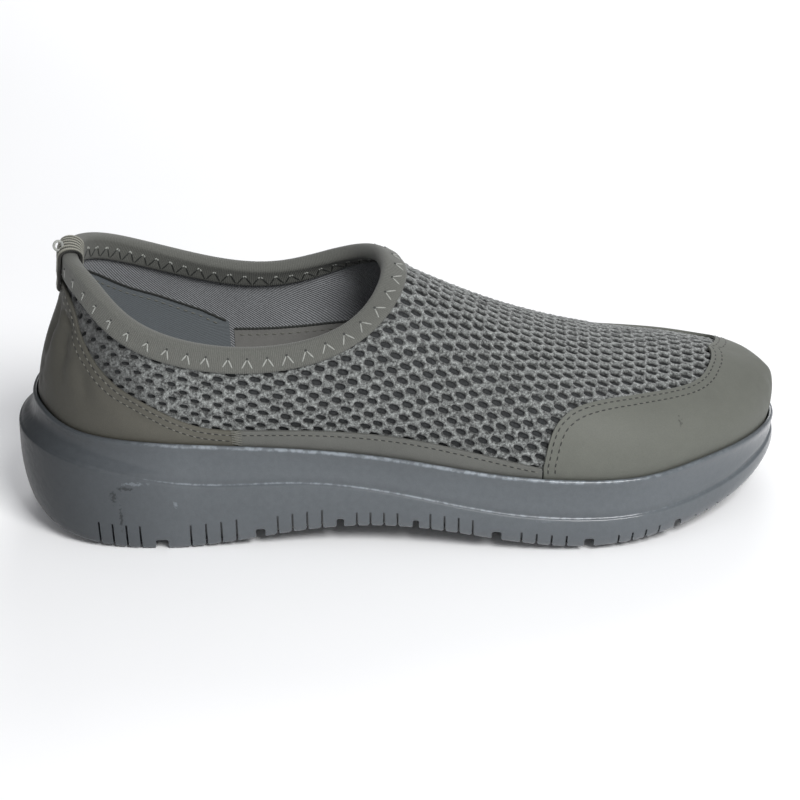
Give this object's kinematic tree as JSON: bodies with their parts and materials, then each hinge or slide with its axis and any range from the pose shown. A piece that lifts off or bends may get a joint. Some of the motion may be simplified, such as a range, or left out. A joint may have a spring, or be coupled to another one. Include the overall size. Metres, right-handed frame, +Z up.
{
  "type": "walking shoe",
  "caption": "Right slip-on walking shoe with a knitted mesh upper, toe cap, heel counter and a thick rocker sole",
  "frame": {"origin": "on the floor, under the middle of the sole's outline", "axes": "+X from heel to toe, +Y to the medial side, +Z up"},
  "size_m": [0.2976, 0.1046, 0.1109],
  "materials": {
    "sole": "satin moulded foam",
    "insole": "matt cloth over foam",
    "upper": "open knitted mesh",
    "toe_cap": "smooth matt synthetic",
    "heel_counter": "smooth matt synthetic",
    "side_band_lateral": "smooth matt synthetic",
    "side_band_medial": "smooth matt synthetic",
    "collar_binding": "brushed binding tape",
    "pull_tab": "ribbed webbing"
  },
  "bodies": {
    "root": {"sole": "sole", "insole": "insole", "upper": "upper", "toe_cap": "toe_cap", "heel_counter": "heel_counter", "side_band_lateral": "side_band_lateral", "side_band_medial": "side_band_medial", "collar_binding": "collar_binding", "pull_tab": "pull_tab"}
  },
  "joints": []
}
